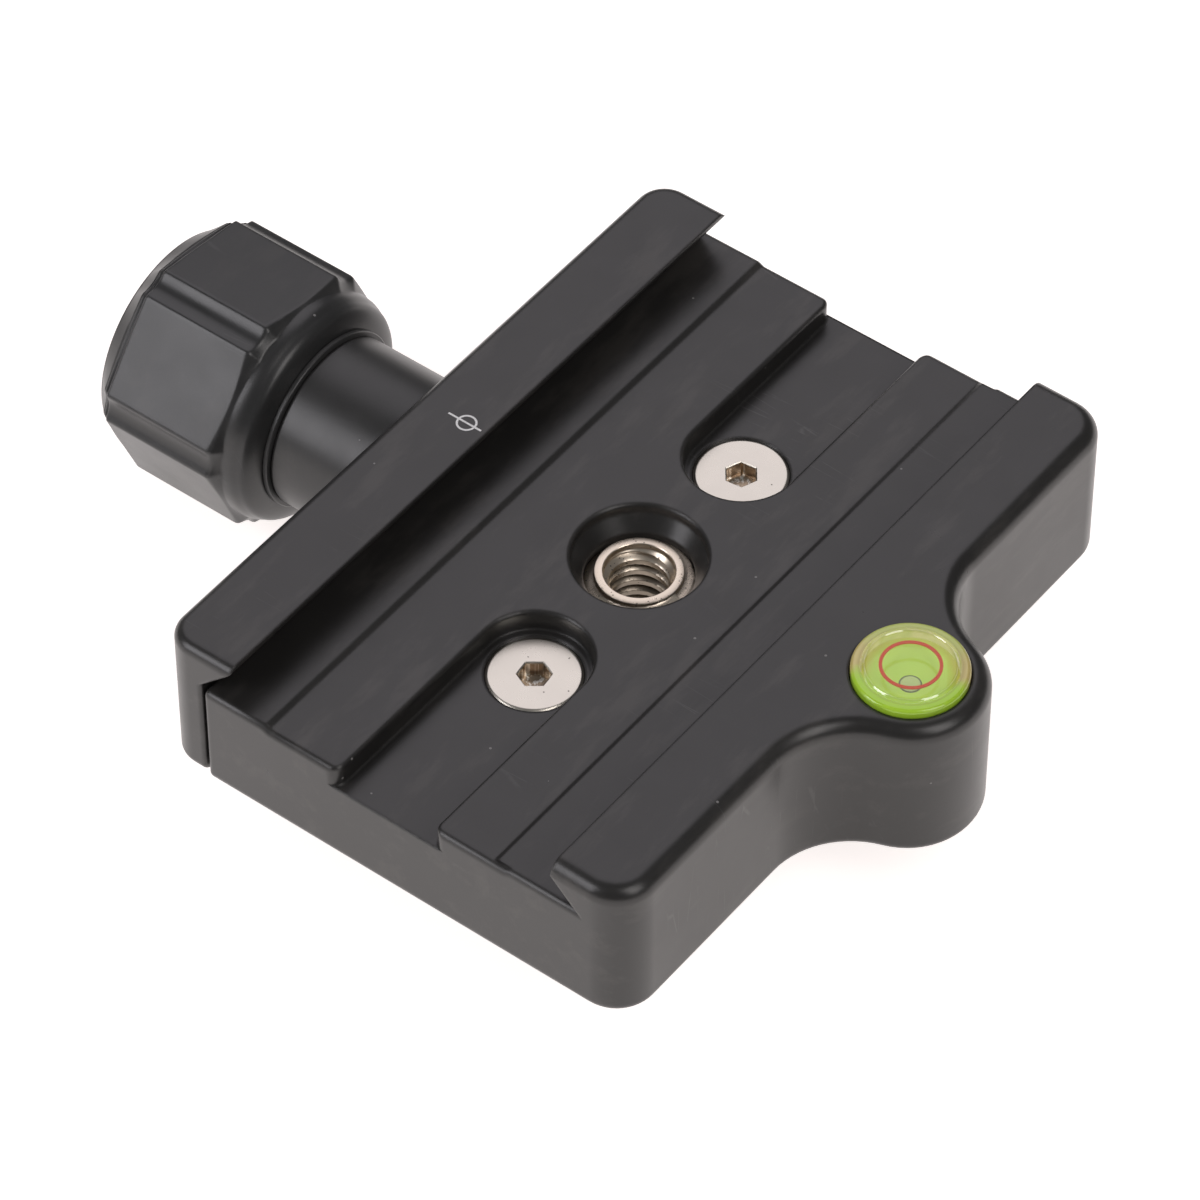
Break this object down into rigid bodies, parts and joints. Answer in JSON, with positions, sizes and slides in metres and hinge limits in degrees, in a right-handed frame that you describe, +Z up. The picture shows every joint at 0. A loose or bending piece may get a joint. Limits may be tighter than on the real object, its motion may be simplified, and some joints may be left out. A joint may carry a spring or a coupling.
{
  "type": "dovetail quick release clamp",
  "caption": "Flat camera clamp with a dovetail channel between a fixed and a sliding jaw, a faceted screw knob on a round neck, a threaded centre bush and a round bubble level.",
  "frame": {"origin": "on the axis of the centre tripod thread, in the plane of the flat underside", "axes": "+X from the knob's side to the level's side, along the clamping screw; +Y along the dovetail channel; +Z up out of the channel"},
  "size_m": [0.0858, 0.0686, 0.0232],
  "materials": {
    "anodised_body": "fine bead-blasted, black anodised, satin",
    "anodised_knob": "black anodised, satin",
    "cap_plastic": "moulded, matte",
    "washer_plastic": "smooth, low friction",
    "bush_metal": "turned, nickel coloured",
    "screw_steel": "turned stainless face",
    "inner_steel": "ground",
    "spring_steel": "drawn wire",
    "insert_brass": "turned",
    "level_disc": "printed disc",
    "level_case": "clear, polished",
    "level_liquid": "clear tinted liquid",
    "level_ring": "printed line"
  },
  "bodies": {
    "base": {"clamp_base": "anodised_body", "thread_bush": "bush_metal", "deck_screw_front": "screw_steel", "deck_screw_rear": "screw_steel", "clamp_stud": "inner_steel", "stud_pin": "inner_steel", "stop_washer": "inner_steel", "stop_screw": "inner_steel", "vial_disc": "level_disc", "vial_body": "level_case", "vial_liquid": "level_liquid", "vial_ring": "level_ring", "jaw_spring_front": "spring_steel", "jaw_spring_rear": "spring_steel"},
    "jaw": {"moving_jaw": "anodised_body", "guide_rod_front": "inner_steel", "guide_rod_rear": "inner_steel", "neck_barrel": "anodised_body"},
    "knob": {"knob_grip": "anodised_knob", "knob_insert": "insert_brass", "knob_cap": "cap_plastic", "thrust_washer": "washer_plastic"}
  },
  "joints": [
    {"name": "jaw_slide", "type": "slide", "parent": "base", "child": "jaw", "axis": [-1, 0, 0], "range_m": [-0.0004, 0.0048]},
    {"name": "knob_turn", "type": "hinge", "parent": "jaw", "child": "knob", "pos_m": [-0.0343, 0, 0.0057], "axis": [-1, 0, 0], "range_deg": [-144, 1728]}
  ],
  "couplings": [
    {"joint": "knob_turn", "follows": "jaw_slide", "rad_per_m": 6283.2}
  ]
}
